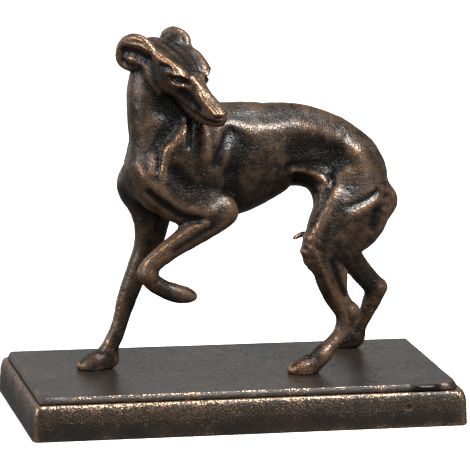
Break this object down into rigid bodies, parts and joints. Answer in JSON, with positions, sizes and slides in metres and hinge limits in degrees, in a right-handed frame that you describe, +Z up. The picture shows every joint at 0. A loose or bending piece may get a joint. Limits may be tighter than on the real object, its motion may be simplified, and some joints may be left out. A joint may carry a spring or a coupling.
{
  "type": "greyhound statue",
  "caption": "Cast iron greyhound with a raised foreleg that looks back over its shoulder, on a rectangular moulded plinth.",
  "frame": {"origin": "centre of the plinth's underside, on the surface that the statue stands on", "axes": "+Z up, +X along the plinth from the dog's chest end to its rump end, +Y across the plinth, away from the side that shows the dog's face"},
  "size_m": [0.182, 0.081, 0.1587],
  "materials": {
    "greyhound": "dark brown-black antique finish, rubbed to copper bronze on the raised forms, sandy cast grain, satin",
    "plinth": "dark grey-brown antique finish, rubbed to bronze along the edges, sandy cast grain on the moulding, satin"
  },
  "bodies": {
    "root": {"greyhound": "greyhound", "plinth": "plinth"}
  },
  "joints": []
}
